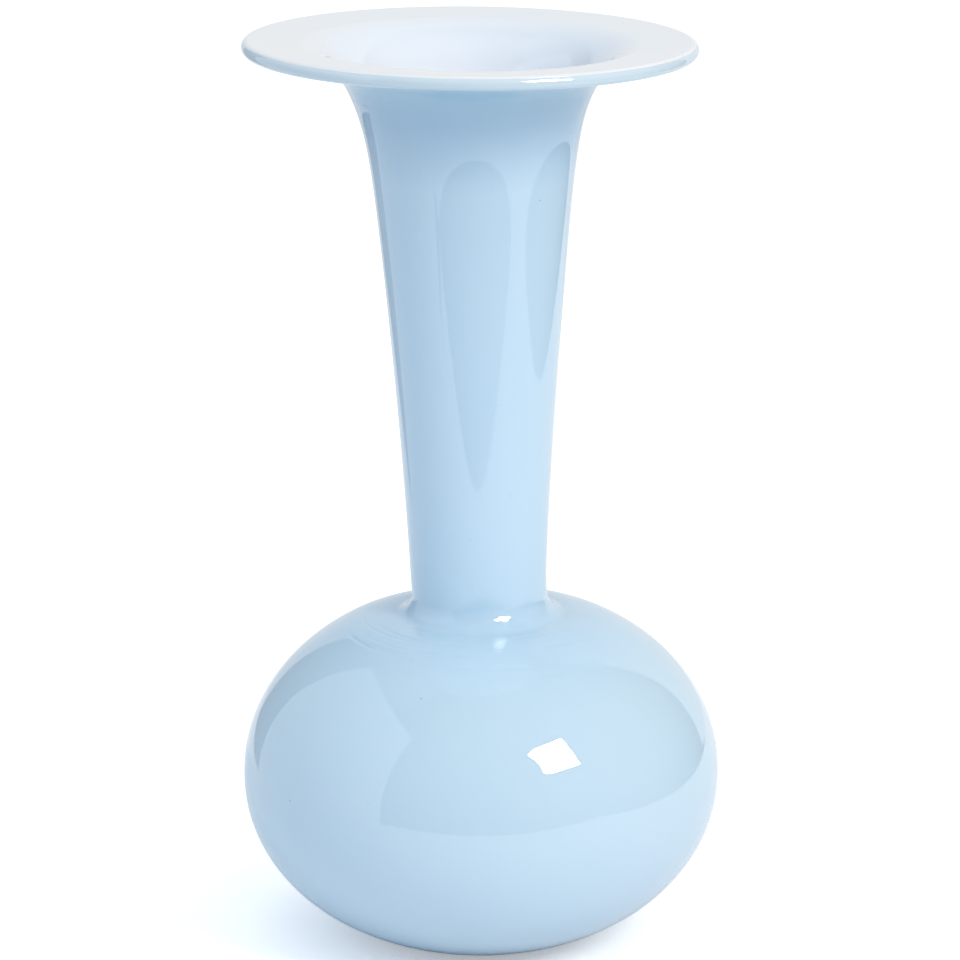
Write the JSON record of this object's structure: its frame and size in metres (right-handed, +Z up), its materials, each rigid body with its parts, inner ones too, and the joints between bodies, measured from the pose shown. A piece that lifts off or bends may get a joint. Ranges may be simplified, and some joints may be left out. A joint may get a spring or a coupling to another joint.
{
  "type": "vase",
  "caption": "Blown cased-glass vase: squat round bulb, tall slowly widening neck, broad turned-out flat lip; blue outside, white inside.",
  "frame": {"origin": "centre of the ground foot, on the table that the vase stands on", "axes": "+Z up along the vase's axis of revolution, towards the lip"},
  "size_m": [0.1314, 0.1314, 0.25],
  "materials": {
    "blue_opaline_glass": "glossy, fire-polished, opaque pale blue opaline",
    "white_opal_glass": "glossy, opaque white opal"
  },
  "bodies": {
    "root": {"blue_casing": "blue_opaline_glass", "opal_lining": "white_opal_glass"}
  },
  "joints": []
}
